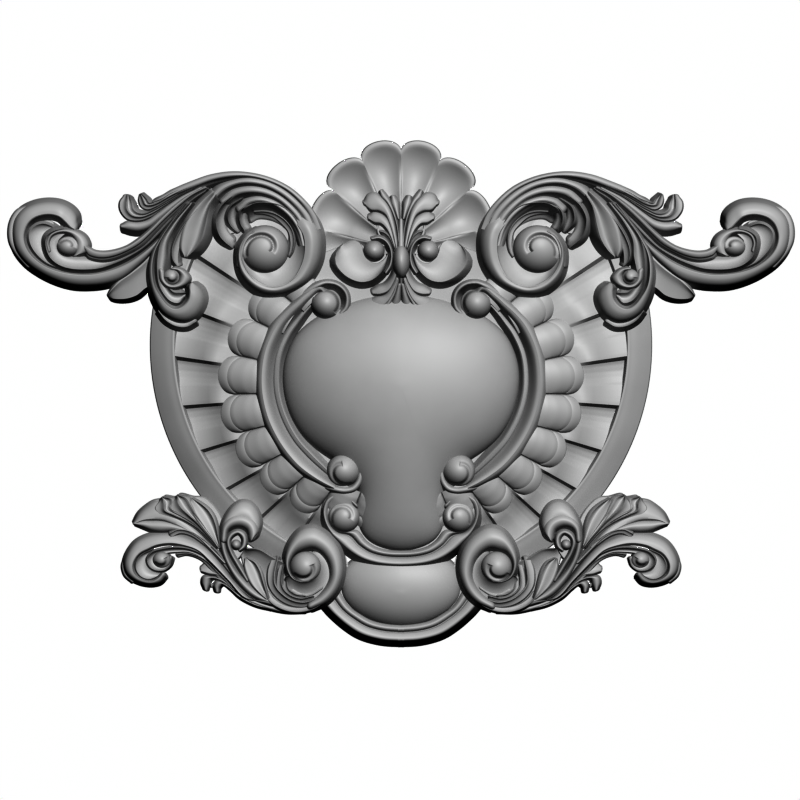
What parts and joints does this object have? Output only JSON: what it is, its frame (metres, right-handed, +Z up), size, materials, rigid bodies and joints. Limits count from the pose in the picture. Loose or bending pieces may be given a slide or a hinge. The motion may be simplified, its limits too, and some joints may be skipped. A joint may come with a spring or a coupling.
{
  "type": "decorative onlay",
  "caption": "Symmetrical rococo cartouche onlay: domed shield in a C-scroll frame on a fluted plate, with a shell crest, scrolled acanthus wings and lower leaf sprays.",
  "frame": {"origin": "on the flat back, on the centre line, behind the middle of the domed field", "axes": "+Z up the wall, +X across, +Y out of the flat back into the wall; the carving faces -Y"},
  "size_m": [0.592, 0.0568, 0.3817],
  "materials": {
    "cast_resin": "satin"
  },
  "bodies": {
    "root": {"cartouche_onlay": "cast_resin"}
  },
  "joints": []
}
